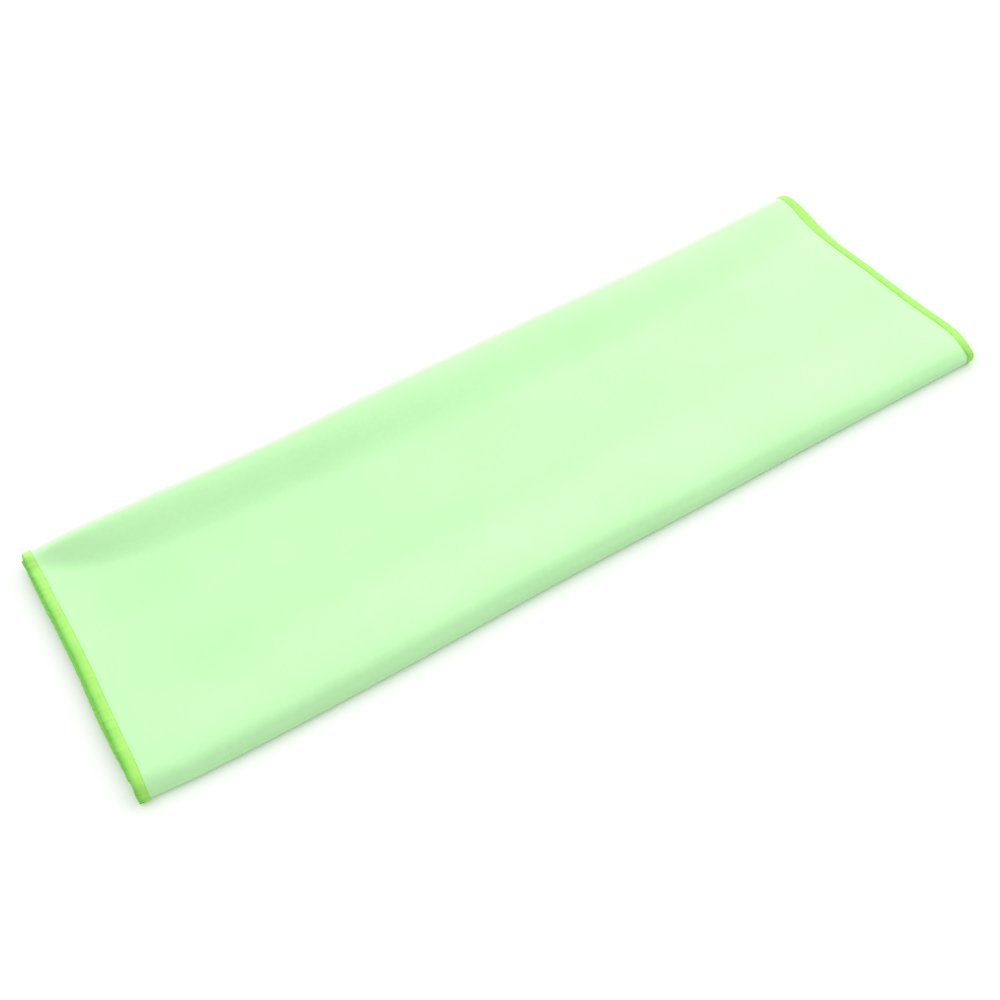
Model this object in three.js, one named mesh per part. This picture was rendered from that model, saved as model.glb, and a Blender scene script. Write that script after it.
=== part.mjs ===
// A microfibre towel, folded in half and then in thirds, lying on a flat surface.
// Both turns of the thirds lie under the top layer, so each long side of the strip is a fold.
// X runs along the strip from the left hem to the right one, Y across it from the near side to
// the far one, and Z up from the surface. Sizes are in millimetres.
import * as THREE from "three";

const STRIP_LENGTH = 700; // the towel's width, from hem to hem
const STRIP_HALF_WIDTH = 119.5; // from the strip's middle line to the outside of its folds
const CLOTH_THICKNESS = 1.2;
const EDGING_WIDTH = { left: 8.4, right: 6.6, side: 7.5 }; // overlocked thread band along each cut edge
const EDGING_THICKNESS = { outside: 1, crown: 1.8, inside: 1.5 };
const SEAM_GAP = 0.3; // between the cloth and its edging
const SLICES_ALONG = 17; // slices of the cloth from one end band to the other
const FACET_CROWDING = 1.6; // crowds the facets of a pass towards the far side, where it slopes
const HEM_WAVE_REACH = 70; // how far into the strip a wave of an end hem is felt
const NEAR_FOOT = { from: 14, to: 84 }; // where the near side's rise ends, in from the near fold
const FAR_TAIL = { footIn: 105, share: 0.2 }; // a share of the far side's rise ends as far in as this
const FOLD_LIFT = { height: 1.2, from: 5, to: 26 }; // the lowest layer's lift near the near fold

// The strip's uneven outline and top face, one row for each cross-section from left to right.
// near and far: how much further out the folds reach. middle: height of the top face halfway
// across. nearRise and farRise: how far the rolled sides stand above that. The far side falls to
// it between ridgeIn and footIn, measured in from the far fold.
const SECTIONS = [
  { along: -350, near: -1.0, far: 0.4, middle: 13.4, nearRise: 0.6, farRise: 1.4, ridgeIn: 4, footIn: 24 },
  { along: -310, near: 1.9, far: -0.1, middle: 10.6, nearRise: 2.4, farRise: 7.6, ridgeIn: 4, footIn: 42 },
  { along: -250, near: 3.4, far: -1.8, middle: 10.7, nearRise: 3.2, farRise: 7.4, ridgeIn: 6, footIn: 54 },
  { along: -150, near: 3.4, far: -5.7, middle: 10.7, nearRise: 4.1, farRise: 7.5, ridgeIn: 8, footIn: 58 },
  { along: -40, near: 1.5, far: -3.5, middle: 11.1, nearRise: 4.2, farRise: 6.2, ridgeIn: 12, footIn: 66 },
  { along: 80, near: 1.7, far: -3.6, middle: 11.5, nearRise: 4.0, farRise: 4.8, ridgeIn: 13, footIn: 68 },
  { along: 200, near: 0.4, far: -4.3, middle: 11.6, nearRise: 3.2, farRise: 4.3, ridgeIn: 13, footIn: 66 },
  { along: 300, near: 0.6, far: -0.8, middle: 12.2, nearRise: 2.0, farRise: 2.8, ridgeIn: 12, footIn: 60 },
  { along: 335, near: 0.7, far: 1.0, middle: 12.9, nearRise: 1.4, farRise: 2.0, ridgeIn: 10, footIn: 50 },
  { along: 350, near: 0.6, far: 1.6, middle: 13.1, nearRise: 0.8, farRise: 1.2, ridgeIn: 8, footIn: 40 },
];

// How far each end hem stands out from a straight line, and how much wider its edging is there,
// one row for each place across the strip.
const HEM_WAVES = [
  { across: -120, left: 0.4, right: -0.8, leftWidening: -0.6, rightWidening: 0.0 },
  { across: -95, left: -0.4, right: 3.3, leftWidening: -0.6, rightWidening: 0.0 },
  { across: -60, left: -0.5, right: 2.2, leftWidening: -0.5, rightWidening: 0.3 },
  { across: -35, left: -0.7, right: 1.3, leftWidening: -0.2, rightWidening: 0.3 },
  { across: 5, left: -1.5, right: 0.0, leftWidening: -0.3, rightWidening: 0.0 },
  { across: 45, left: -1.1, right: -1.6, leftWidening: -0.5, rightWidening: 0.4 },
  { across: 65, left: -0.7, right: -0.2, leftWidening: -0.6, rightWidening: 1.7 },
  { across: 85, left: -0.4, right: 2.6, leftWidening: -0.5, rightWidening: 2.5 },
  { across: 105, left: 0.5, right: 4.2, leftWidening: -0.4, rightWidening: 1.6 },
  { across: 120, left: 1.2, right: 3.0, leftWidening: -0.2, rightWidening: 0.6 },
];

// Where along the cloth's path an end hem is rounded off, and how far in its edge draws there.
// Each pass is one step of the path and so is each fold.
const HEM_TIPS = [
  { step: 1.2, spread: 0.3, left: 0.9, right: 1.0 },
  { step: 3.3, spread: 0.35, left: 1.4, right: 0.8 },
  { step: 7.5, spread: 0.62, left: 3.2, right: 0.2 },
  { step: 9.5, spread: 0.66, left: 3.6, right: 0.4 },
];

// Each pass of the cloth across the strip, in the order that the cloth follows. It starts at a
// hem under the far side. level counts the layers up from the bottom one. The next four columns
// say how far the layer stands out past the top one at the strip's left and right end, where the
// pass starts and where it stops. facets: how many strips the pass has.
const PASSES = [
  { level: 0, leftStart: -4.4, leftStop: 1.6, rightStart: -1.4, rightStop: -0.4, facets: 5 },
  { level: 5, leftStart: 0.0, leftStop: 0.0, rightStart: 0.0, rightStop: 0.0, facets: 16 },
  { level: 2, leftStart: -0.6, leftStop: -1.6, rightStart: -1.4, rightStop: -2.0, facets: 9 },
  { level: 3, leftStart: -1.2, leftStop: 1.6, rightStart: -2.2, rightStop: -3.6, facets: 9 },
  { level: 4, leftStart: 2.0, leftStop: 2.8, rightStart: -3.8, rightStop: -5.4, facets: 10 },
  { level: 1, leftStart: 2.0, leftStop: 0.8, rightStart: -4.8, rightStop: -3.0, facets: 9 },
];

// The fold after each pass but the last. inset: how far inside the strip's outline it turns.
// lowRun and highRun: how far its lower and upper quarter run in from there. lowSquare and
// highSquare: how square those are, from 2 for a true ellipse. facets: in a quarter.
const FOLDS = [
  { side: "near", inset: 0, lowRun: 6, highRun: 17, lowSquare: 3, highSquare: 2.5, facets: 5 },
  { side: "far", inset: 0, lowRun: 6, highRun: 9, lowSquare: 2, highSquare: 2, facets: 4 },
  { side: "near", inset: 10, lowRun: 2.2, highRun: 2.4, lowSquare: 2, highSquare: 2, facets: 3 },
  { side: "far", inset: 4.2, lowRun: 2.2, highRun: 3, lowSquare: 2, highSquare: 2, facets: 3 },
  { side: "near", inset: 3.4, lowRun: 6, highRun: 14, lowSquare: 2, highSquare: 2, facets: 4 },
];

// The first pass starts and the last one stops this far inside the far side's outline.
const FREE_HEM_INSET = { first: 6.5, last: 9 };

const BAND_THICKNESS = [EDGING_THICKNESS.outside, EDGING_THICKNESS.crown, EDGING_THICKNESS.inside];

const COLOURS = { cloth: "#b1e2a7", edging: "#91d159" };

// Lines along a cut edge, measured in from it: the edging's outside, crown and inside, and the
// cloth's own edge beyond the seam.
function bandLines(width) {
  return [0, width / 2, width, width + SEAM_GAP];
}

// Reads one column of a table at any place along it, smoothly between its rows.
function readColumn(rows, placeColumn, column) {
  const places = rows.map((row) => row[placeColumn]);
  const values = rows.map((row) => row[column]);
  const curve = new THREE.CubicInterpolant(places, values, 1);
  return (place) => curve.evaluate(place)[0];
}

const sectionAt = Object.fromEntries(
  Object.keys(SECTIONS[0]).map((column) => [column, readColumn(SECTIONS, "along", column)]),
);
const hemAt = Object.fromEntries(
  Object.keys(HEM_WAVES[0]).map((column) => [column, readColumn(HEM_WAVES, "across", column)]),
);

const edgeOfSide = {
  near: (x) => -STRIP_HALF_WIDTH - sectionAt.near(x),
  far: (x) => STRIP_HALF_WIDTH + sectionAt.far(x),
};

// Height of the strip's top face.
function topHeight(x, y) {
  const fromFar = edgeOfSide.far(x) - y;
  const fromNear = y - edgeOfSide.near(x);
  const fallBy = (footIn) => THREE.MathUtils.smoothstep(fromFar, sectionAt.ridgeIn(x), footIn);
  const tail = fallBy(FAR_TAIL.footIn);
  const farShare = 1 - THREE.MathUtils.lerp(fallBy(sectionAt.footIn(x)), tail, FAR_TAIL.share);
  const nearShare = 1 - THREE.MathUtils.smoothstep(fromNear, NEAR_FOOT.from, NEAR_FOOT.to);
  return sectionAt.middle(x) + sectionAt.farRise(x) * farShare + sectionAt.nearRise(x) * nearShare;
}

// Height of the middle of one layer's cloth. The layers share the height of the stack evenly.
function layerHeight(level, x, y) {
  const fromNear = y - edgeOfSide.near(x);
  const settled = THREE.MathUtils.smoothstep(fromNear, FOLD_LIFT.from, FOLD_LIFT.to);
  const bottom = CLOTH_THICKNESS / 2 + FOLD_LIFT.height * (1 - settled);
  const top = topHeight(x, y) - CLOTH_THICKNESS / 2;
  return THREE.MathUtils.lerp(bottom, top, level / (PASSES.length - 1));
}

// Where a fold hands over to the pass on the given level, measured across the strip.
function foldEnd(fold, run, x) {
  const inwards = fold.side === "near" ? 1 : -1;
  return edgeOfSide[fold.side](x) + inwards * (fold.inset + run);
}

// A fold's two quarters, in the order that the cloth follows.
function foldQuarters(index) {
  const { lowRun, highRun, lowSquare, highSquare } = FOLDS[index];
  const low = { run: lowRun, square: lowSquare };
  const high = { run: highRun, square: highSquare };
  const goesUp = PASSES[index + 1].level > PASSES[index].level;
  return goesUp ? [low, high] : [high, low];
}

// The points of one pass at x, with both its ends. A hem's end has a point on each band line.
function passPoints(index, x) {
  const { level, facets } = PASSES[index];
  const farEdge = edgeOfSide.far(x);
  const hemPlaces = (inset) => bandLines(EDGING_WIDTH.side).map((line) => farEdge - inset - line);
  const starts =
    index === 0
      ? hemPlaces(FREE_HEM_INSET.first)
      : [foldEnd(FOLDS[index - 1], foldQuarters(index - 1)[1].run, x)];
  const ends =
    index === FOLDS.length
      ? hemPlaces(FREE_HEM_INSET.last).reverse()
      : [foldEnd(FOLDS[index], foldQuarters(index)[0].run, x)];
  const nearEnd = Math.min(starts.at(-1), ends[0]);
  const farEnd = Math.max(starts.at(-1), ends[0]);
  const inner = Array.from({ length: facets - 1 }, (_, i) => {
    const fromFar = ((i + 1) / facets) ** FACET_CROWDING;
    return THREE.MathUtils.lerp(farEnd, nearEnd, fromFar);
  });
  if (ends[0] > starts[0]) inner.reverse();
  return [...starts, ...inner, ...ends].map((y) => ({
    y,
    z: layerHeight(level, x, y),
    step: 2 * index + THREE.MathUtils.inverseLerp(starts[0], ends.at(-1), y),
  }));
}

// The points of a fold at x, between its two passes: two quarters of an ellipse, or squarer ones.
function foldPoints(index, x) {
  const fold = FOLDS[index];
  const outermost = foldEnd(fold, 0, x);
  const ends = foldQuarters(index).map(({ run, square }, i) => {
    const y = foldEnd(fold, run, x);
    return { y, z: layerHeight(PASSES[index + i].level, x, y), power: 2 / square };
  });
  const turnHeight = (ends[0].z + ends[1].z) / 2;
  const count = 2 * fold.facets;
  return Array.from({ length: count - 1 }, (_, i) => {
    const turn = (Math.PI * (i + 1)) / count;
    const end = turn < Math.PI / 2 ? ends[0] : ends[1];
    return {
      y: end.y + (outermost - end.y) * Math.sin(turn) ** end.power,
      z: turnHeight + (end.z - turnHeight) * Math.abs(Math.cos(turn)) ** end.power,
      step: 2 * index + 1 + (i + 1) / count,
    };
  });
}

// The whole back-and-forth section of the cloth at x.
function sectionPoints(x) {
  return PASSES.flatMap((_, index) => [
    ...passPoints(index, x),
    ...(index < FOLDS.length ? foldPoints(index, x) : []),
  ]);
}

// How far a layer stands out at one end of the strip.
function layerOutset(end, step) {
  const index = Math.min(Math.floor(step / 2), PASSES.length - 1);
  const inPass = step - 2 * index;
  const start = PASSES[index][`${end}Start`];
  const stop = PASSES[index][`${end}Stop`];
  if (inPass <= 1) return THREE.MathUtils.lerp(start, stop, inPass);
  return THREE.MathUtils.lerp(stop, PASSES[index + 1][`${end}Start`], inPass - 1);
}

// How far the edge of an end hem draws in where the hem is rounded off.
function drawnIn(end, step) {
  const rounded = (tip) => Math.max(1 - ((step - tip.step) / tip.spread) ** 2, 0);
  return HEM_TIPS.reduce((total, tip) => total + tip[end] * rounded(tip), 0);
}

// Stretches the strip at its ends so that the hems stand where their waves and layers put them,
// and their seams where the width of the edging does.
function placeAlong(x, { y, step }) {
  const half = STRIP_LENGTH / 2;
  const outset = (end, fromMiddle) => {
    const reach = THREE.MathUtils.smoothstep(fromMiddle, half - HEM_WAVE_REACH, half);
    const inBand = Math.max((fromMiddle - half) / EDGING_WIDTH[end] + 1, 0);
    const seamIn = (1 - inBand) * hemAt[`${end}Widening`](y);
    return reach * (hemAt[end](y) + layerOutset(end, step) - seamIn) - inBand * drawnIn(end, step);
  };
  return x - outset("left", -x) + outset("right", x);
}

// Places along the strip where the section is taken: the band lines at both ends, and between
// them slices that are narrower towards the ends.
function slicePlaces() {
  const left = bandLines(EDGING_WIDTH.left).map((inset) => inset - STRIP_LENGTH / 2);
  const right = bandLines(EDGING_WIDTH.right).map((inset) => STRIP_LENGTH / 2 - inset);
  const cloth = Array.from({ length: SLICES_ALONG - 1 }, (_, i) => {
    const share = (i + 1) / SLICES_ALONG;
    const evenOut = (1 - Math.cos(Math.PI * share)) / 2;
    return THREE.MathUtils.lerp(left.at(-1), right.at(-1), (share + evenOut) / 2);
  });
  return [...left, ...cloth, ...right.reverse()];
}

// The middle of the cloth as slices of points, each with the direction out of its face.
function middleSheet() {
  return slicePlaces().map((x) => {
    const points = sectionPoints(x);
    return points.map((point, j) => {
      const before = points[Math.max(j - 1, 0)];
      const after = points[Math.min(j + 1, points.length - 1)];
      const outwards = new THREE.Vector3(0, before.z - after.z, after.y - before.y).normalize();
      const middle = new THREE.Vector3(placeAlong(x, point), point.y, point.z);
      return { middle, outwards };
    });
  });
}

// A closed solid of one part of the sheet: the slices and lines in the two ranges, with the
// thickness that thicknessAt gives. No point goes below the surface that the towel lies on.
function sheetSolid(sheet, slices, lines, thicknessAt) {
  const positions = [];
  const indices = [];
  const lineCount = lines.to - lines.from + 1;
  const sliceCount = slices.to - slices.from + 1;
  for (let i = slices.from; i <= slices.to; i++) {
    for (let j = lines.from; j <= lines.to; j++) {
      const { middle, outwards } = sheet[i][j];
      const half = thicknessAt(i, j) / 2;
      for (const side of [half, -half]) {
        const corner = middle.clone().addScaledVector(outwards, side);
        positions.push(corner.x, corner.y, Math.max(corner.z, 0));
      }
    }
  }
  const upper = (i, j) => 2 * (i * lineCount + j);
  const lower = (i, j) => upper(i, j) + 1;
  const addQuad = (a, b, c, d) => indices.push(a, b, c, a, c, d);
  const lastSlice = sliceCount - 1;
  const lastLine = lineCount - 1;
  for (let i = 0; i < lastSlice; i++) {
    for (let j = 0; j < lastLine; j++) {
      addQuad(upper(i, j), upper(i + 1, j), upper(i + 1, j + 1), upper(i, j + 1));
      addQuad(lower(i, j), lower(i, j + 1), lower(i + 1, j + 1), lower(i + 1, j));
    }
    addQuad(upper(i, 0), lower(i, 0), lower(i + 1, 0), upper(i + 1, 0));
    addQuad(upper(i, lastLine), upper(i + 1, lastLine), lower(i + 1, lastLine), lower(i, lastLine));
  }
  for (let j = 0; j < lastLine; j++) {
    addQuad(upper(0, j), upper(0, j + 1), lower(0, j + 1), lower(0, j));
    addQuad(upper(lastSlice, j), lower(lastSlice, j), lower(lastSlice, j + 1), upper(lastSlice, j + 1));
  }
  const geometry = new THREE.BufferGeometry();
  geometry.setAttribute("position", new THREE.Float32BufferAttribute(positions, 3));
  geometry.setIndex(indices);
  geometry.computeVertexNormals();
  return geometry;
}

function addPiece(group, name, geometry, material) {
  const mesh = new THREE.Mesh(geometry, material);
  mesh.name = name;
  group.add(mesh);
}

function buildTowel() {
  const towel = new THREE.Group();
  const sheet = middleSheet();
  const lastSlice = sheet.length - 1;
  const lastLine = sheet[0].length - 1;
  const bandLast = BAND_THICKNESS.length - 1;
  const clothSlices = { from: bandLast + 1, to: lastSlice - bandLast - 1 };
  const clothLines = { from: bandLast + 1, to: lastLine - bandLast - 1 };
  const allLines = { from: 0, to: lastLine };
  const firstBand = { from: 0, to: bandLast };
  const lastBand = (last) => ({ from: last - bandLast, to: last });

  const makeCloth = () =>
    new THREE.MeshStandardMaterial({ color: COLOURS.cloth, roughness: 0.9, metalness: 0 });
  const makeThread = () =>
    new THREE.MeshStandardMaterial({ color: COLOURS.edging, roughness: 0.6, metalness: 0 });
  const addEdging = (name, slices, lines, lineFromEdge) => {
    const thickness = (i, j) => BAND_THICKNESS[lineFromEdge(i, j)];
    addPiece(towel, name, sheetSolid(sheet, slices, lines, thickness), makeThread());
  };

  const cloth = sheetSolid(sheet, clothSlices, clothLines, () => CLOTH_THICKNESS);
  addPiece(towel, "towel_cloth", cloth, makeCloth());
  addEdging("overlock_left_end", firstBand, allLines, (i) => i);
  addEdging("overlock_right_end", lastBand(lastSlice), allLines, (i) => lastSlice - i);
  addEdging("overlock_lower_side", clothSlices, firstBand, (i, j) => j);
  addEdging("overlock_upper_side", clothSlices, lastBand(lastLine), (i, j) => lastLine - j);

  const box = new THREE.Box3().setFromObject(towel);
  const centre = box.getCenter(new THREE.Vector3());
  towel.position.set(-centre.x, -centre.y, 0);
  return towel;
}

export default buildTowel();
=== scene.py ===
import math

import bpy
import numpy as np
from mathutils import Matrix, Vector


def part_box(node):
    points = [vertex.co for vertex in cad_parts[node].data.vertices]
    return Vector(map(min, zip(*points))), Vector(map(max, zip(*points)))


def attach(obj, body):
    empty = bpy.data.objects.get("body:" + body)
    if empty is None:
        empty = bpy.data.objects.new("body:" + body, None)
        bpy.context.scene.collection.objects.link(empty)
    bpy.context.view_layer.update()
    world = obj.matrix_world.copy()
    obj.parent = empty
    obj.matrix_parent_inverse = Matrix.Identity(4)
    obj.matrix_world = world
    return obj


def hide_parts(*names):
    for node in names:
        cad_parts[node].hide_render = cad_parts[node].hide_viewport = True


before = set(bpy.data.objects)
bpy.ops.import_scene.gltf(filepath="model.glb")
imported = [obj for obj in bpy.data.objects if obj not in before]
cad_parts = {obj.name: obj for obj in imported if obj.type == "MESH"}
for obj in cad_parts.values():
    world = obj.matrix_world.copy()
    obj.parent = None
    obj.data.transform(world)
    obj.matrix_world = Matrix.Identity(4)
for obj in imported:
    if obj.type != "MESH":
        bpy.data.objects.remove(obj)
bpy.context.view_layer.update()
mm = 0.001


# the folded sheet, by the same rule as the part's source
towel = {
    "flatWidth": 0.70,  # the cut size in metres: along the strip
    "flatLength": 1.40,  # and back and forth across it
    "stripLength": 700,
    "halfWidth": 119.5,
    "clothThickness": 1.2,
    "endBand": {"left": 8.4, "right": 6.6},
    "sideBand": 7.5,
    "seamGap": 0.3,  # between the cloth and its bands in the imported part
    "hemWaveReach": 70,  # how far into the strip a wave of an end hem is felt
    "nearFoot": (14, 84),  # where the near side's rise ends, in from the near fold
    "farTail": {"footIn": 105, "share": 0.2},  # a share of the far side's rise ends further in
    "foldLift": {"height": 1.2, "from": 5, "to": 26},  # of the lowest layer near the near fold
    "freeHemInset": {"first": 6.5, "last": 9},
}

# the uneven outline and top face at cross-sections from left to right: how much further out the
# folds reach at the near and far side, the height of the middle, how far the two rolled sides
# stand above it, and where the far side starts and ends its fall, in from the far fold
sections = {
    "along": (-350, -310, -250, -150, -40, 80, 200, 300, 335, 350),
    "near": (-1.0, 1.9, 3.4, 3.4, 1.5, 1.7, 0.4, 0.6, 0.7, 0.6),
    "far": (0.4, -0.1, -1.8, -5.7, -3.5, -3.6, -4.3, -0.8, 1.0, 1.6),
    "middle": (13.4, 10.6, 10.7, 10.7, 11.1, 11.5, 11.6, 12.2, 12.9, 13.1),
    "nearRise": (0.6, 2.4, 3.2, 4.1, 4.2, 4.0, 3.2, 2.0, 1.4, 0.8),
    "farRise": (1.4, 7.6, 7.4, 7.5, 6.2, 4.8, 4.3, 2.8, 2.0, 1.2),
    "ridgeIn": (4, 4, 6, 8, 12, 13, 13, 12, 10, 8),
    "footIn": (24, 42, 54, 58, 66, 68, 66, 60, 50, 40),
}

# how far each end hem stands out, and how much wider its edging is, at places across the strip
hemWaves = {
    "across": (-120, -95, -60, -35, 5, 45, 65, 85, 105, 120),
    "left": (0.4, -0.4, -0.5, -0.7, -1.5, -1.1, -0.7, -0.4, 0.5, 1.2),
    "right": (-0.8, 3.3, 2.2, 1.3, 0.0, -1.6, -0.2, 2.6, 4.2, 3.0),
    "leftWidening": (-0.6, -0.6, -0.5, -0.2, -0.3, -0.5, -0.6, -0.5, -0.4, -0.2),
    "rightWidening": (0.0, 0.0, 0.3, 0.3, 0.0, 0.4, 1.7, 2.5, 1.6, 0.6),
}

# where along the fold's path an end hem is rounded off, and how far in its edge draws there
hemTips = (
    {"step": 1.2, "spread": 0.3, "left": 0.9, "right": 1.0},
    {"step": 3.3, "spread": 0.35, "left": 1.4, "right": 0.8},
    {"step": 7.5, "spread": 0.62, "left": 3.2, "right": 0.2},
    {"step": 9.5, "spread": 0.66, "left": 3.6, "right": 0.4},
)

# each pass of the cloth across the strip, in the order that the cloth follows: its level,
# how far it stands out at the two ends where it starts and stops, and its facets
passes = (
    {"level": 0, "left": (-4.4, 1.6), "right": (-1.4, -0.4), "facets": 40},
    {"level": 5, "left": (0.0, 0.0), "right": (0.0, 0.0), "facets": 66},
    {"level": 2, "left": (-0.6, -1.6), "right": (-1.4, -2.0), "facets": 12},
    {"level": 3, "left": (-1.2, 1.6), "right": (-2.2, -3.6), "facets": 12},
    {"level": 4, "left": (2.0, 2.8), "right": (-3.8, -5.4), "facets": 14},
    {"level": 1, "left": (2.0, 0.8), "right": (-4.8, -3.0), "facets": 12},
)

# the fold after each pass but the last: how far in it turns, how far its lower and upper
# quarter run in from there, how square those quarters are and the facets of each
folds = (
    {"side": "near", "inset": 0, "low": (6, 3), "high": (17, 2.5), "facets": 15},
    {"side": "far", "inset": 0, "low": (6, 2), "high": (9, 2), "facets": 11},
    {"side": "near", "inset": 10, "low": (2.2, 2), "high": (2.4, 2), "facets": 5},
    {"side": "far", "inset": 4.2, "low": (2.2, 2), "high": (3, 2), "facets": 5},
    {"side": "near", "inset": 3.4, "low": (6, 2), "high": (14, 2), "facets": 8},
)


def readColumn(table, placeName, name, places):
    # smooth curve through the rows of a table, held level beyond its ends
    at = np.array(table[placeName], float)
    value = np.array(table[name], float)
    at = np.concatenate(([2 * at[0] - at[1]], at, [2 * at[-1] - at[-2]]))
    value = np.concatenate(([value[1]], value, [value[-2]]))
    place = np.clip(places, at[1], at[-2])
    i = np.clip(np.searchsorted(at, place, side="right") - 1, 1, len(at) - 3)
    width = at[i + 1] - at[i]
    p = (place - at[i]) / width
    before = 0.5 * width / (at[i] - at[i - 1])
    after = 0.5 * width / (at[i + 2] - at[i + 1])
    return (
        value[i - 1] * before * (-p**3 + 2 * p**2 - p)
        + value[i] * ((1 + before) * p**3 - (1.5 + 2 * before) * p**2 - (0.5 - before) * p + 1)
        + value[i + 1] * (-(1 + after) * p**3 + (1.5 + after) * p**2 + 0.5 * p)
        + value[i + 2] * after * (p**3 - p**2)
    )


def smoothStep(value, low, high):
    share = np.clip((value - low) / (high - low), 0, 1)
    return share * share * (3 - 2 * share)


def mixed(start, stop, share):
    return start + (stop - start) * share


def edgeOf(side, x):
    # where the strip's outline is, measured across the strip
    sign = -1 if side == "near" else 1
    return sign * (towel["halfWidth"] + readColumn(sections, "along", side, x))


# soft troughs and ridges laid on the top face: middle of each, its reach along and
# across before it is turned, its turn from the strip's length, and how far it rises
creases = (
    {"at": (-262, -66), "reach": (30, 26), "turn": 0, "rise": -0.9},
    {"at": (-278, -116), "reach": (24, 34), "turn": 0, "rise": 0.8},
    {"at": (220, -60), "reach": (30, 30), "turn": 20, "rise": -0.7},
)


def creaseHeight(x, y):
    total = 0 * x * y
    for crease in creases:
        turn = math.radians(crease["turn"])
        along = (x - crease["at"][0]) * math.cos(turn) + (y - crease["at"][1]) * math.sin(turn)
        across = (y - crease["at"][1]) * math.cos(turn) - (x - crease["at"][0]) * math.sin(turn)
        spread = (along / crease["reach"][0]) ** 2 + (across / crease["reach"][1]) ** 2
        total = total + crease["rise"] * np.exp(-spread)
    return total


def topHeight(x, y):
    fromFar = edgeOf("far", x) - y
    fromNear = y - edgeOf("near", x)
    read = lambda name: readColumn(sections, "along", name, x)
    tail = towel["farTail"]
    farShare = 1 - mixed(
        smoothStep(fromFar, read("ridgeIn"), read("footIn")),
        smoothStep(fromFar, read("ridgeIn"), tail["footIn"]),
        tail["share"],
    )
    nearShare = 1 - smoothStep(fromNear, *towel["nearFoot"])
    rolls = read("middle") + read("farRise") * farShare + read("nearRise") * nearShare
    return rolls + creaseHeight(x, y)


def layerHeight(level, x, y):
    # the layers share the height of the stack, which lifts off the surface at the near fold
    half = towel["clothThickness"] / 2
    lift = towel["foldLift"]
    fromNear = y - edgeOf("near", x)
    bottom = half + lift["height"] * (1 - smoothStep(fromNear, lift["from"], lift["to"]))
    return mixed(bottom, topHeight(x, y) - half, level / (len(passes) - 1))


def foldEnd(fold, run, x):
    # where a fold hands over to a pass, measured across the strip
    inwards = 1 if fold["side"] == "near" else -1
    return edgeOf(fold["side"], x) + inwards * (fold["inset"] + run)


def foldQuarters(index):
    # run and squareness of a fold's two quarters, in the order that the cloth follows
    fold = folds[index]
    goesUp = passes[index + 1]["level"] > passes[index]["level"]
    return (fold["low"], fold["high"]) if goesUp else (fold["high"], fold["low"])


def passLines(index, x, hemLines):
    # lines of one pass with both its ends, of which a hem's end has one for each hem line
    last = len(folds)
    farEdge = edgeOf("far", x)
    inset = towel["freeHemInset"]
    starts = [farEdge - inset["first"] - line for line in hemLines]
    ends = [farEdge - inset["last"] - line for line in hemLines][::-1]
    if index > 0:
        starts = [foldEnd(folds[index - 1], foldQuarters(index - 1)[1][0], x)]
    if index < last:
        ends = [foldEnd(folds[index], foldQuarters(index)[0][0], x)]
    shares = np.arange(1, passes[index]["facets"]) / passes[index]["facets"]
    inner = [mixed(starts[-1], ends[0], share) for share in shares]
    lines = []
    for y in [*starts, *inner, *ends]:
        step = 2 * index + (y - starts[0]) / (ends[-1] - starts[0])
        lines.append((y, layerHeight(passes[index]["level"], x, y), step))
    return lines


def foldLines(index, x):
    # lines of a fold between its two passes: two quarters of an ellipse, or of a squarer curve
    fold = folds[index]
    outermost = foldEnd(fold, 0, x)
    ends = []
    for i, (run, square) in enumerate(foldQuarters(index)):
        y = foldEnd(fold, run, x)
        ends.append((y, layerHeight(passes[index + i]["level"], x, y), 2 / square))
    turnHeight = (ends[0][1] + ends[1][1]) / 2
    count = 2 * fold["facets"]
    lines = []
    for i in range(1, count):
        turn = math.pi * i / count
        endY, endZ, power = ends[0] if turn < math.pi / 2 else ends[1]
        y = endY + (outermost - endY) * math.sin(turn) ** power
        z = turnHeight + (endZ - turnHeight) * abs(math.cos(turn)) ** power
        lines.append((y, z, 2 * index + 1 + i / count + 0 * y))
    return lines


def layerOutset(end, step):
    # how far a layer stands out past the top one at one end of the strip
    index = np.clip(np.floor(step / 2), 0, len(passes) - 1).astype(int)
    following = np.minimum(index + 1, len(passes) - 1)
    inPass = step - 2 * index
    ends = np.array([p[end] for p in passes])
    alongPass = mixed(ends[index, 0], ends[index, 1], inPass)
    alongFold = mixed(ends[index, 1], ends[following, 0], inPass - 1)
    return np.where(inPass <= 1, alongPass, alongFold)


def drawnIn(end, step):
    # how far the edge of an end hem draws in where it is rounded off
    rounded = lambda tip: np.clip(1 - ((step - tip["step"]) / tip["spread"]) ** 2, 0, 1)
    return sum(tip[end] * rounded(tip) for tip in hemTips)


def hemOutset(end, fromMiddle, y, step):
    # how far an end hem's wave, layers, seam and rounded tips move the sheet outwards
    half = towel["stripLength"] / 2
    reach = smoothStep(fromMiddle, half - towel["hemWaveReach"], half)
    inBand = np.clip((fromMiddle - half) / towel["endBand"][end] + 1, 0, 1)
    wave = readColumn(hemWaves, "across", end, y) + layerOutset(end, step)
    seamIn = (1 - inBand) * readColumn(hemWaves, "across", end + "Widening", y)
    return reach * (wave - seamIn) - inBand * drawnIn(end, step)


def placeAlong(x, y, step):
    # stretches the strip at its ends so that the hems stand where they should
    return x - hemOutset("left", -x, y, step) + hemOutset("right", x, y, step)


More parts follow.
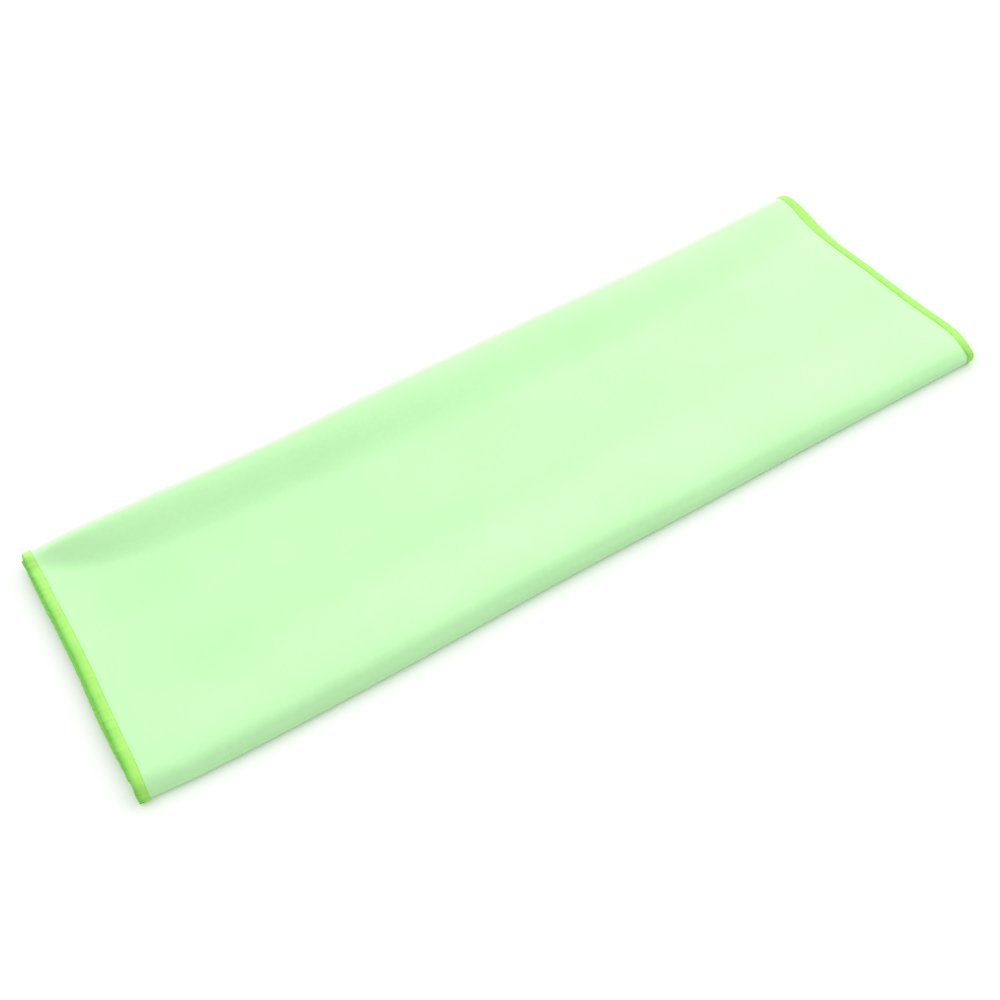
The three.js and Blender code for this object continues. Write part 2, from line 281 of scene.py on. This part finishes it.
def middleSheet(slices, hemLines):
    # middle of the cloth, the way out of its face and its length so far, by slice and line
    x = np.asarray(slices, float)
    lines = []
    for index in range(len(passes)):
        lines += passLines(index, x, hemLines)
        if index < len(folds):
            lines += foldLines(index, x)
    y, z, step = (np.array([line[k] for line in lines]).T for k in range(3))
    xs = np.repeat(x[:, None], y.shape[1], axis=1)
    middle = np.stack([placeAlong(xs, y, step), y, z], axis=2)
    before = np.concatenate([middle[:, :1], middle[:, :-1]], axis=1)
    after = np.concatenate([middle[:, 1:], middle[:, -1:]], axis=1)
    along = after - before
    outwards = np.stack([0 * z, -along[..., 2], along[..., 1]], axis=2)
    outwards /= np.linalg.norm(outwards, axis=2, keepdims=True)
    runs = np.hypot(np.diff(y, axis=1), np.diff(z, axis=1))
    length = np.concatenate([np.zeros((len(x), 1)), np.cumsum(runs, axis=1)], axis=1)
    return {"middle": middle, "outwards": outwards, "length": length, "slices": x}


def closedSheet(name, sheet, thickness, columns=slice(None)):
    # mesh of the sheet's lines in columns, as thick as given for each slice and line, with a
    # UV map of the flat cloth in metres
    part = np.s_[:, columns]
    half = (np.broadcast_to(thickness, sheet["length"].shape)[part] / 2)[..., None]
    middle, outwards = sheet["middle"][part], sheet["outwards"][part]
    sides = np.stack([middle + outwards * half, middle - outwards * half], axis=2)
    sides[..., 2] = np.maximum(sides[..., 2], 0)  # nothing reaches below the surface
    sliceCount, lineCount = sides.shape[:2]
    index = np.arange(sliceCount * lineCount * 2).reshape(sliceCount, lineCount, 2)
    upper, lower = index[..., 0], index[..., 1]

    def quads(a, b, c, d):
        return np.stack([np.ravel(k) for k in (a, b, c, d)], axis=1)

    faces = np.concatenate([
        quads(upper[:-1, :-1], upper[1:, :-1], upper[1:, 1:], upper[:-1, 1:]),
        quads(lower[:-1, :-1], lower[:-1, 1:], lower[1:, 1:], lower[1:, :-1]),
        quads(upper[:-1, 0], lower[:-1, 0], lower[1:, 0], upper[1:, 0]),
        quads(upper[:-1, -1], upper[1:, -1], lower[1:, -1], lower[:-1, -1]),
        quads(upper[0, :-1], upper[0, 1:], lower[0, 1:], lower[0, :-1]),
        quads(upper[-1, :-1], lower[-1, :-1], lower[-1, 1:], upper[-1, 1:]),
    ])
    points = sides.reshape(-1, 3) * mm + sheetShift
    mesh = bpy.data.meshes.new(name)
    mesh.from_pydata(points.tolist(), [], faces.tolist())
    mesh.polygons.foreach_set("use_smooth", np.ones(len(faces), bool))
    along = np.repeat(sheet["slices"][:, None], lineCount, axis=1)
    flat = np.stack([along, sheet["length"][part]], axis=2)
    flat = np.repeat(flat[:, :, None], 2, axis=2).reshape(-1, 2) * mm
    uv = mesh.uv_layers.new(name="clothUv")
    uv.data.foreach_set("uv", flat[faces.ravel()].ravel().astype(np.float32))
    mesh.update()
    piece = bpy.data.objects.new(name, mesh)
    bpy.context.scene.collection.objects.link(piece)
    return piece


def crowdedPlaces(low, high, count, crowding=0.6):
    # places that stand closer together towards both ends, or evenly for a crowding of 0
    share = np.linspace(0, 1, count)
    ends = (1 - np.cos(np.pi * share)) / 2
    return mixed(low, high, mixed(share, ends, crowding))


def shiftToPart(sliceCount=60):
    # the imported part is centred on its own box, so the sheet moves to where its cloth is
    half = towel["stripLength"] / 2
    gap = towel["seamGap"]
    ends = (towel["endBand"]["left"] + gap - half, half - towel["endBand"]["right"] - gap)
    cloth = middleSheet(np.linspace(*ends, sliceCount), [towel["sideBand"] + gap])["middle"] * mm
    low, high = (np.array(corner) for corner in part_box("towel_cloth"))
    shift = (low + high - cloth.min((0, 1)) - cloth.max((0, 1))) / 2
    shift[2] = 0
    return shift


sheetShift = shiftToPart()
print("sheet moved onto the part, mm:", np.round(sheetShift / mm, 3).tolist())


class Wire:
    # a node's output, on which sums, differences, products and powers add Math nodes
    def __init__(self, graph, socket):
        self.graph, self.socket = graph, socket

    def math(self, operation, *others, flip=False):
        values = [self, *others]
        if flip:
            values.reverse()
        return self.graph.wire("ShaderNodeMath", {"operation": operation}, dict(enumerate(values)))

    def __add__(self, other):
        return self.math("ADD", other)

    def __sub__(self, other):
        return self.math("SUBTRACT", other)

    def __rsub__(self, other):
        return self.math("SUBTRACT", other, flip=True)

    def __mul__(self, other):
        return self.math("MULTIPLY", other)

    def __pow__(self, other):
        return self.math("POWER", other)

    def __rpow__(self, other):
        return self.math("POWER", other, flip=True)

    __radd__ = __add__
    __rmul__ = __mul__


class Graph:
    def __init__(self, tree):
        self.tree = tree
        tree.nodes.clear()

    def node(self, kind, settings=None, inputs=None):
        # a node with its settings, and with the value, wire or list of wires of its inputs
        made = self.tree.nodes.new(kind)
        for name, value in (settings or {}).items():
            setattr(made, name, value)
        for key, value in (inputs or {}).items():
            if isinstance(value, (Wire, list)):
                for source in value if isinstance(value, list) else [value]:
                    self.tree.links.new(source.socket, made.inputs[key])
            else:
                made.inputs[key].default_value = value
        return made

    def wire(self, kind, settings=None, inputs=None, output=0):
        return Wire(self, self.node(kind, settings, inputs).outputs[output])

    def vector(self, x, y, z):
        return self.wire("ShaderNodeCombineXYZ", {}, {0: x, 1: y, 2: z})

    def parts(self, vector):
        made = self.node("ShaderNodeSeparateXYZ", {}, {0: vector})
        return [Wire(self, made.outputs[k]) for k in range(3)]

    def mixColour(self, share, first, second, blend="MIX"):
        settings = {"data_type": "RGBA", "blend_type": blend}
        return self.wire("ShaderNodeMix", settings, {0: share, 6: first, 7: second}, output=2)

    def noise(self, vector, scale, detail, roughness):
        inputs = {"Vector": vector, "Scale": scale, "Detail": detail, "Roughness": roughness}
        return self.wire("ShaderNodeTexNoise", {}, inputs)

    def spread(self, value, low, high, toLow=0.0, toHigh=1.0):
        # a value's range from low to high spread over another range, and held at its ends
        return self.wire("ShaderNodeMapRange", {}, {0: value, 1: low, 2: high, 3: toLow, 4: toHigh})

    def bump(self, strength, distance, height):
        inputs = {"Strength": strength, "Distance": distance, "Height": height}
        return self.wire("ShaderNodeBump", {}, inputs)


def newMaterial(name):
    made = bpy.data.materials.new(name)
    made.use_nodes = True
    return made, Graph(made.node_tree)


def finishMaterial(graph, inputs):
    surface = graph.wire("ShaderNodeBsdfPrincipled", {}, inputs)
    graph.node("ShaderNodeOutputMaterial", {}, {"Surface": surface})


noiseRange = (0.3, 0.7)  # where most values of a noise lie

# suede cloth; a noise is given by its scale per metre, its detail and its roughness
suede = {
    "base": (0.44, 0.76, 0.384, 1),
    "lighter": (0.485, 0.81, 0.429, 1),
    "darker": (0.4, 0.71, 0.344, 1),
    "evenness": 0.4,  # how far the colour goes back to the base one
    "clouds": (14, 2.0, 0.5),
    "mottle": (240, 4.0, 0.65),
    "fibre": (1500, 3.0, 0.7),
    "brushMarks": (900, 2.0, 0.6),
    "brushStretch": 0.35,  # draws the brush marks out along the strip
    "toneShares": (0.35, 0.35, 0.3),  # of clouds, mottle and fibre
    "toneRange": (0.36, 0.64),
    "courses": 0.0011,  # knit courses under the nap, metres
    "courseWander": 4.0,  # how far brush marks bend the courses, radians
    "napShares": (0.6, 0.5, 0.06),  # of fibre, brush marks and courses
    "napBump": (0.5, 0.00012),  # strength, and height in metres
    "roughness": (0.82, 0.94),
    "ior": 1.4,
    "specular": 0.2,
    "sheen": 0.3,
    "sheenRoughness": 0.5,
    "sheenTint": (0.76, 1, 0.8, 1),
}


def weighted(shares, wires):
    # sum of wires, each times its share
    first, *others = (wire * share for wire, share in zip(wires, shares))
    return sum(others, first)


def makeSuede():
    made, g = newMaterial("mint_microfibre_suede")
    uv = g.wire("ShaderNodeUVMap", {"uv_map": "clothUv"})
    along, across, _ = g.parts(uv)
    clouds, mottle, fibre = (g.noise(uv, *suede[name]) for name in ("clouds", "mottle", "fibre"))
    brushed = g.vector(along * suede["brushStretch"], across, 0.0)
    brushed = g.noise(brushed, *suede["brushMarks"])
    tone = g.spread(weighted(suede["toneShares"], (clouds, mottle, fibre)), *suede["toneRange"])
    colour = g.mixColour(tone, suede["darker"], suede["lighter"])
    colour = g.mixColour(suede["evenness"], colour, suede["base"])
    rough = g.spread(mottle, *noiseRange, *suede["roughness"])
    turn = across * (2 * math.pi / suede["courses"]) + brushed * suede["courseWander"]
    height = weighted(suede["napShares"], (fibre, brushed, turn.math("SINE")))
    finishMaterial(g, {
        "Base Color": colour, "Roughness": rough, "Normal": g.bump(*suede["napBump"], height),
        "IOR": suede["ior"], "Specular IOR Level": suede["specular"],
        "Sheen Weight": suede["sheen"], "Sheen Roughness": suede["sheenRoughness"],
        "Sheen Tint": suede["sheenTint"],
    })
    return made


clothMesh = {
    "slices": 200,
    "underBand": 0.5,  # share of the band that the cloth reaches under
}


def makeCloth(material):
    half = towel["stripLength"] / 2
    under = clothMesh["underBand"]
    left, right = (under * towel["endBand"][end] for end in ("left", "right"))
    slices = crowdedPlaces(left - half, half - right, clothMesh["slices"])
    sheet = middleSheet(slices, [under * towel["sideBand"], towel["sideBand"]])
    piece = closedSheet("towel_suede", sheet, towel["clothThickness"])
    piece.data.materials.append(material)
    return piece


cloth = makeCloth(makeSuede())
print("cloth:", len(cloth.data.polygons), "faces")


# thread stitched over every cut edge, in millimetres
overlock = {
    "pitch": 2.5,  # from stitch to stitch
    "strandWidth": 3.7,
    "strandThickness": 0.3,
    "stitchRise": 0.92,  # from the middle of the cloth to the middle of a strand
    "squareness": 0.72,  # power on the ring's rounding, 1 for a true ellipse
    "slant": 1.1,
    "ringSteps": 14,  # along a ring
    "strandSides": 6,  # round a strand
    "needleLength": 2.45,
    "needleThickness": 0.42,
    "needleBreadth": 1.3,  # a needle stitch's width, as a share of its thickness
    "needleOut": 0.6,  # how far out it lies from the needle line, as a share of its thickness
    "needleRise": 0.72,  # how far from the middle of the cloth, as a share of a strand's rise
    "needleSides": 6,
    "needleRings": 5,
    "endMargin": 0.45,  # from an edging's end to its first stitch, as a share of a strand's width
    "turnNarrowing": 0.72,  # a strand's share of its width where the edge turns sharply
    "turnRange": (0.5, 0.95),  # needle line over thread length, at such a turn and where straight
    "unevenness": 0.04,  # of a stitch's reach and rise
    "reachOfChance": 0.5,  # how much of the reach's unevenness is each stitch's own
    "reachOfPatch": 3.0,  # and how much it shares with its neighbours
    "patches": (70, 2.0, 0.5),  # the noise that neighbours share
    "toneOfChance": 0.25,
    "toneOfPatch": 1.5,
    "toneRange": (0.3, 1.2, 0.3, 1.0),  # of that sum, and of the tone that it turns into
    "seed": 7,
    "sharpEdge": 1.3,  # angle in radians above which an edge isn't smoothed
    "coreInsets": (0.8, 0.95, 1.3, 1.9, 2.8),  # lines across the core, in from the cut edge
    "coreSeamInsets": (1.6, 0.6, 0),  # and in from the needle line
    "coreThickness": (0.3, 0.6, 0.95, 1.25, 1.5, 1.55, 1.46, 1.34, 1.24),
}

thread = {
    "edge": (0.19, 0.6, 0.07, 1),  # painted shade: darker, deeper green where it wraps down round the cut edge
    "crown": (0.31, 0.66, 0.115, 1),
    "core": (0.3, 0.66, 0.11, 1),
    "paintedShadeReach": (0.0075, 0.0045),  # where the crown's colour starts and is full, metres out; further out is the edge's painted shade
    "variation": 0.24,
    "filaments": (4200, 2.0, 0.6),
    "filamentStretch": 0.25,  # draws the filaments out along a strand
    "filamentShift": 0.02,  # so that stitches differ, metres
    "filamentShare": 0.4,  # in a strand's brightness, whose rest is the stitch's own tone
    "bundles": 0.00062,  # from one bundle of filaments to the next, metres
    "bundleWander": 3.0,
    "bundleShare": 0.35,
    "strandBump": (0.6, 0.00012),  # strength, and height in metres
    "leastTone": 0.2,  # a strand's tone is above this and the core's is 0
    "roughness": (0.5, 0.75),
    "specular": 0.25,
    "sheen": 0.1,
    "sheenRoughness": 0.4,
}


def makeThread():
    made, g = newMaterial("lime_overlock_thread")
    tone = g.wire("ShaderNodeAttribute", {"attribute_name": "stitchTone"}, output=2)
    place = g.wire("ShaderNodeAttribute", {"attribute_name": "strandPlace"}, output=1)
    out, up, along = g.parts(place)
    stretch = thread["filamentStretch"]
    filament = g.vector(out * stretch + tone * thread["filamentShift"], up * stretch, along)
    filament = g.noise(filament, *thread["filaments"])
    isStrand = g.spread(tone, 0.0, thread["leastTone"])
    outOfPaintedShade = g.spread(out, *thread["paintedShadeReach"])
    # painted shade: the thread turns darker and deeper green towards the cut edge, and keeps the
    # crown's colour over the top of the band
    strand = g.mixColour(outOfPaintedShade, thread["edge"], thread["crown"])
    share = thread["filamentShare"]
    brightness = filament * share + tone * (1 - share) - 0.5
    brightness = brightness * thread["variation"] + 1.0
    strand = g.mixColour(1.0, strand, g.vector(brightness, brightness, brightness), "MULTIPLY")
    colour = g.mixColour(isStrand, thread["core"], strand)
    rough = g.spread(filament, *noiseRange, *thread["roughness"])
    turn = along * (2 * math.pi / thread["bundles"]) + filament * thread["bundleWander"]
    height = turn.math("COSINE") * isStrand * thread["bundleShare"] + filament
    finishMaterial(g, {
        "Base Color": colour, "Roughness": rough, "Normal": g.bump(*thread["strandBump"], height),
        "Specular IOR Level": thread["specular"], "Sheen Weight": thread["sheen"],
        "Sheen Roughness": thread["sheenRoughness"],
    })
    return made


def overlockTree():
    # thread rings round a cut edge and a line of needle stitches along their inner ends
    tree = bpy.data.node_groups.new("overlockStitches", "GeometryNodeTree")
    g = Graph(tree)
    sockets = {}
    tree.interface.new_socket(name="Core", in_out="INPUT", socket_type="NodeSocketGeometry")
    for name, kind in (
        ("Guide", "Object"), ("Pitch", "Float"), ("Band Width", "Float"), ("Stitch Rise", "Float"),
        ("Strand Width", "Float"), ("Strand Thickness", "Float"), ("Slant", "Float"),
        ("Squareness", "Float"), ("Needle Length", "Float"), ("Needle Thickness", "Float"),
        ("Unevenness", "Float"), ("Seed", "Int"), ("Thread", "Material"),
    ):
        socket = tree.interface.new_socket(
            name=name, in_out="INPUT", socket_type="NodeSocket" + kind
        )
        sockets[name] = socket.identifier
    tree.interface.new_socket(name="Edging", in_out="OUTPUT", socket_type="NodeSocketGeometry")
    given = g.node("NodeGroupInput")
    read = lambda name: Wire(g, given.outputs[name])

    def onGuide(name, kind):
        return g.wire("GeometryNodeInputNamedAttribute", {"data_type": kind}, {"Name": name})

    def moved(geometry, inputs):
        return g.wire("GeometryNodeTransform", {}, {"Geometry": geometry, **inputs})

    def stored(geometry, name, value, kind, domain):
        settings = {"data_type": kind, "domain": domain}
        inputs = {"Geometry": geometry, "Name": name, "Value": value}
        return g.wire("GeometryNodeStoreNamedAttribute", settings, inputs)

    def circle(steps, radius):
        inputs = {"Resolution": steps, "Radius": radius}
        return g.wire("GeometryNodeCurvePrimitiveCircle", {"mode": "RADIUS"}, inputs)

    guide = g.wire("GeometryNodeObjectInfo", {}, {"Object": read("Guide")}, output="Geometry")
    outwards, upwards = (onGuide(name, "FLOAT_VECTOR") for name in ("outwards", "upwards"))
    narrowing, widening = (onGuide(name, "FLOAT") for name in ("narrowing", "widening"))
    axes = {"primary_axis": "Y", "secondary_axis": "X"}
    turn = g.wire("FunctionNodeAxesToRotation", axes, {0: upwards, 1: outwards})

    # a ring of flat strand that leans along the edge, squarer than an ellipse; the strand and
    # the needle stitches are made with a diameter of 1 and scaled to their sizes
    x, y, _ = g.parts(g.wire("GeometryNodeInputPosition"))
    squared = lambda value: value.math("SIGN") * value.math("ABSOLUTE") ** read("Squareness")
    ringPlace = g.vector(
        (squared(x) + 1.0) * read("Band Width") * 0.5,
        squared(y) * read("Stitch Rise"),
        x * read("Slant") * 0.5,
    )
    ring = circle(overlock["ringSteps"], 1.0)
    ring = g.wire("GeometryNodeSetPosition", {}, {"Geometry": ring, "Position": ringPlace})
    ring = g.wire("GeometryNodeSetCurveNormal", {"mode": "Z_UP"}, {"Curve": ring})
    strandSize = g.vector(read("Strand Thickness"), read("Strand Width"), 1.0)
    strand = moved(circle(overlock["strandSides"], 0.5), {"Scale": strandSize})
    stitch = g.wire("GeometryNodeCurveToMesh", {}, {"Curve": ring, "Profile Curve": strand})

    # a needle stitch on each face of the cloth
    thickness = read("Needle Thickness")
    needle = g.wire("GeometryNodeMeshUVSphere", {}, {
        "Segments": overlock["needleSides"], "Rings": overlock["needleRings"], "Radius": 0.5,
    })
    needleSize = g.vector(thickness * overlock["needleBreadth"], thickness, read("Needle Length"))
    needles = []
    for rise in (overlock["needleRise"], -overlock["needleRise"]):
        place = g.vector(
            thickness * overlock["needleOut"], read("Stitch Rise") * rise, read("Pitch") * 0.5
        )
        needles.append(moved(needle, {"Scale": needleSize, "Translation": place}))
    stitch = g.wire("GeometryNodeJoinGeometry", {}, {0: [stitch, *needles]})
    place = g.wire("GeometryNodeInputPosition")
    stitch = stored(stitch, "strandPlace", place, "FLOAT_VECTOR", "POINT")

    # the stitches stand on the guide's points, each a little different
    chance = g.wire("FunctionNodeRandomValue", {"data_type": "FLOAT"}, {
        2: -1.0, 3: 1.0, "Seed": read("Seed"),
    }, output=1)
    patch = g.noise(g.wire("GeometryNodeInputPosition"), *overlock["patches"])
    reach = chance * overlock["reachOfChance"] + (patch - 0.5) * overlock["reachOfPatch"]
    reach = (reach * read("Unevenness") + 1.0) * widening
    stitches = g.wire("GeometryNodeInstanceOnPoints", {}, {
        "Points": guide, "Instance": stitch, "Rotation": turn,
        "Scale": g.vector(reach, chance * read("Unevenness") + 1.0, narrowing),
    })
    tone = chance * overlock["toneOfChance"] + patch * overlock["toneOfPatch"]
    tone = g.spread(tone, *overlock["toneRange"])
    stitches = stored(stitches, "stitchTone", tone, "FLOAT", "INSTANCE")
    whole = g.wire("GeometryNodeJoinGeometry", {}, {0: [read("Core"), stitches]})
    whole = g.wire("GeometryNodeRealizeInstances", {}, {0: whole})
    whole = g.wire("GeometryNodeSetShadeSmooth", {}, {"Geometry": whole})
    corner = g.wire("GeometryNodeInputMeshEdgeAngle")
    whole = g.wire("GeometryNodeSetShadeSmooth", {"domain": "EDGE"}, {
        "Geometry": whole, "Selection": corner.math("GREATER_THAN", overlock["sharpEdge"]),
        "Shade Smooth": False,
    })
    whole = g.wire("GeometryNodeSetMaterial", {}, {"Geometry": whole, "Material": read("Thread")})
    g.node("NodeGroupOutput", {}, {0: whole})
    return tree, sockets


def unit(vectors):
    return vectors / np.linalg.norm(vectors, axis=1, keepdims=True)


def guideLine(name, width, points, outwards, upwards):
    # a vertex for each stitch along an edge's needle line, with the ways out of the cut edge
    # and of the face, spaced out where the line turns because the thread lies outside it
    tangents = unit(np.gradient(points, axis=0))
    steps = np.linalg.norm(np.diff(points, axis=0), axis=1)
    turns = np.arccos(np.clip((tangents[:-1] * tangents[1:]).sum(axis=1), -1, 1))
    spaced = steps + overlock["stitchRise"] * turns
    length = np.concatenate([[0], np.cumsum(spaced)])
    margin = overlock["endMargin"] * overlock["strandWidth"]
    count = round((length[-1] - 2 * margin) / overlock["pitch"]) + 1
    places = np.linspace(margin, length[-1] - margin, count)
    read = lambda values: np.stack([np.interp(places, length, part) for part in values.T], axis=1)
    tangents = unit(read(tangents))
    straight = np.interp(places, (length[1:] + length[:-1]) / 2, steps / spaced)
    straight = smoothStep(straight, *overlock["turnRange"])
    narrowing = mixed(overlock["turnNarrowing"], 1, straight)
    reach = np.linalg.norm(outwards, axis=1) + overlock["coreInsets"][0]
    widening = np.interp(places, length, reach / width)
    mesh = bpy.data.meshes.new(name)
    mesh.from_pydata((read(points) * mm + sheetShift).tolist(), [], [])
    for attribute, vectors in (("outwards", outwards), ("upwards", upwards)):
        vectors = read(vectors)
        vectors = unit(vectors - tangents * (vectors * tangents).sum(axis=1, keepdims=True))
        layer = mesh.attributes.new(attribute, "FLOAT_VECTOR", "POINT")
        layer.data.foreach_set("vector", vectors.ravel().astype(np.float32))
    for attribute, values in (("narrowing", narrowing), ("widening", widening)):
        layer = mesh.attributes.new(attribute, "FLOAT", "POINT")
        layer.data.foreach_set("value", values.astype(np.float32))
    piece = bpy.data.objects.new(name, mesh)
    bpy.context.scene.collection.objects.link(piece)
    return piece


def coreLines(width):
    # lines across a band's core, in from the cut edge, and the core's thickness at each
    seamLines = [width - inset for inset in overlock["coreSeamInsets"]]
    return [*overlock["coreInsets"], width / 2, *seamLines], np.array(overlock["coreThickness"])


def stitched(core, guide, width, tree, sockets, material):
    # a core with its stitches, as one plain mesh
    modifier = core.modifiers.new("overlock", "NODES")
    modifier.node_group = tree
    values = {
        "Guide": guide, "Pitch": overlock["pitch"] * mm, "Band Width": width * mm,
        "Stitch Rise": overlock["stitchRise"] * mm, "Strand Width": overlock["strandWidth"] * mm,
        "Strand Thickness": overlock["strandThickness"] * mm, "Slant": overlock["slant"] * mm,
        "Squareness": overlock["squareness"], "Needle Length": overlock["needleLength"] * mm,
        "Needle Thickness": overlock["needleThickness"] * mm, "Seed": overlock["seed"],
        "Unevenness": overlock["unevenness"], "Thread": material,
    }
    for name, value in values.items():
        modifier[sockets[name]] = value
    graph = bpy.context.evaluated_depsgraph_get()
    mesh = bpy.data.meshes.new_from_object(
        core.evaluated_get(graph), preserve_all_data_layers=True, depsgraph=graph
    )
    core.modifiers.clear()
    core.data = mesh
    bpy.data.objects.remove(guide)
    places = np.zeros(len(mesh.vertices) * 3, np.float32)
    mesh.vertices.foreach_get("co", places)
    places[2::3] = np.maximum(places[2::3], 0)  # thread is pressed flat where it lies on the floor
    mesh.vertices.foreach_set("co", places)
    mesh.update()
    return core


def makeEndEdging(end, name, tree, sockets, material):
    half = towel["stripLength"] / 2
    width = towel["endBand"][end]
    insets, thickness = coreLines(width)
    sideInsets, _ = coreLines(towel["sideBand"])
    sign = -1 if end == "left" else 1
    slices = np.array([sign * (half - inset) for inset in insets])
    order = np.argsort(slices)
    sheet = middleSheet(slices[order], sideInsets)
    core = closedSheet(name, sheet, thickness[order][:, None])
    needle, edge = (-1, 0) if end == "left" else (0, -1)
    line, outer = sheet["middle"][needle], sheet["middle"][edge]
    guide = guideLine(name + "_guide", width, line, outer - line, sheet["outwards"][needle])
    return stitched(core, guide, width, tree, sockets, material)


def makeSideEdging(side, name, tree, sockets, material, sliceCount=120):
    half = towel["stripLength"] / 2
    width = towel["sideBand"]
    insets, thickness = coreLines(width)
    ends = (towel["endBand"]["left"] - half, half - towel["endBand"]["right"])
    sheet = middleSheet(crowdedPlaces(*ends, sliceCount), insets)
    count = len(insets)
    edge, needle, columns = 0, count - 1, slice(0, count)
    if side == "upper":
        edge, needle, columns = -1, -count, slice(-count, None)
        thickness = thickness[::-1]
    acrossBand = np.ones(sheet["length"].shape[1])
    acrossBand[columns] = thickness
    core = closedSheet(name, sheet, acrossBand[None, :], columns)
    line, outer = sheet["middle"][:, needle], sheet["middle"][:, edge]
    guide = guideLine(name + "_guide", width, line, outer - line, sheet["outwards"][:, needle])
    return stitched(core, guide, width, tree, sockets, material)


limeThread = makeThread()
stitchTree, stitchSockets = overlockTree()
shared = (stitchTree, stitchSockets, limeThread)
edgings = {
    "overlock_left_end": makeEndEdging("left", "edging_left_end", *shared),
    "overlock_right_end": makeEndEdging("right", "edging_right_end", *shared),
    "overlock_lower_side": makeSideEdging("lower", "edging_lower_side", *shared),
    "overlock_upper_side": makeSideEdging("upper", "edging_upper_side", *shared),
}
for node, piece in edgings.items():
    print(piece.name, len(piece.data.polygons), "faces")


studio = {
    "floor": (0.9, 0.9, 0.9, 1),
    "floorRoughness": 0.9,
    "floorSpecular": 0.1,
    "floorReach": 6.0,
    "floorHeight": -0.0001,
    "world": 0.866,
    "lights": {
        "key_light": {"at": (0.0, 2.32, 0.62), "size": (2.2, 0.8), "power": 81},
        "side_light": {"at": (2.18, 0.0, 1.01), "size": (1.2, 0.8), "power": 35},
        "floor_wash": {"at": (0.25, 0.1, 1.5), "size": (6.0, 6.0), "power": 48},
    },
}


def addSoftLight(name, lit, at, size, power):
    # a soft panel aimed at the towel that lights only the given pieces
    light = bpy.data.lights.new(name, "AREA")
    light.shape, light.energy = "RECTANGLE", power
    light.size, light.size_y = size
    lamp = bpy.data.objects.new(name, light)
    lamp.location = at
    lamp.rotation_euler = (-Vector(at)).to_track_quat("-Z", "Y").to_euler()
    bpy.context.scene.collection.objects.link(lamp)
    lamp.light_linking.receiver_collection = bpy.data.collections.new(name + "_on")
    for piece in lit:
        lamp.light_linking.receiver_collection.objects.link(piece)


def makeFloor():
    reach, height = studio["floorReach"], studio["floorHeight"]
    corners = [(-reach, -reach), (reach, -reach), (reach, reach), (-reach, reach)]
    mesh = bpy.data.meshes.new("floor")
    mesh.from_pydata([(x, y, height) for x, y in corners], [], [(0, 1, 2, 3)])
    floor = bpy.data.objects.new("floor", mesh)
    bpy.context.scene.collection.objects.link(floor)
    made, g = newMaterial("pale_floor")
    finishMaterial(g, {
        "Base Color": studio["floor"], "Roughness": studio["floorRoughness"],
        "Specular IOR Level": studio["floorSpecular"],
    })
    mesh.materials.append(made)
    return floor


def makeWorld():
    world = bpy.data.worlds.new("studio")
    world.use_nodes = True
    g = Graph(world.node_tree)
    light = {"Color": (1, 1, 1, 1), "Strength": studio["world"]}
    background = g.wire("ShaderNodeBackground", {}, light)
    g.node("ShaderNodeOutputWorld", {}, {"Surface": background})
    bpy.context.scene.world = world


view = {
    "at": (-0.32232, -0.65689, 0.80772),
    "lookAt": (-0.0278, -0.02769, 0.0),
    "roll": -7.487,
    "lens": 51.408,
    "sensor": 36,
    "clip": (0.01, 50),
}


def makeCamera():
    forward = (Vector(view["lookAt"]) - Vector(view["at"])).normalized()
    right = forward.cross(Vector((0, 0, 1))).normalized()
    up = right.cross(forward)
    roll = math.radians(view["roll"])
    tiltedRight = right * math.cos(roll) + up * math.sin(roll)
    tiltedUp = up * math.cos(roll) - right * math.sin(roll)
    lens = bpy.data.cameras.new("camera")
    lens.lens, lens.sensor_width = view["lens"], view["sensor"]
    lens.clip_start, lens.clip_end = view["clip"]
    camera = bpy.data.objects.new("camera", lens)
    turn = Matrix((tiltedRight, tiltedUp, -forward)).transposed().to_4x4()
    camera.matrix_world = Matrix.Translation(view["at"]) @ turn
    bpy.context.scene.collection.objects.link(camera)
    bpy.context.scene.camera = camera


floor = makeFloor()
makeWorld()
towelPieces = [cloth, *edgings.values()]
lit = {"key_light": towelPieces, "side_light": towelPieces, "floor_wash": [floor]}
for name, light in studio["lights"].items():
    addSoftLight(name, lit[name], **light)
makeCamera()
bpy.context.scene.view_settings.view_transform = "Standard"
print("studio ready")


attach(cloth, "root")
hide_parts("towel_cloth")
for node, piece in edgings.items():
    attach(piece, "root")
    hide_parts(node)
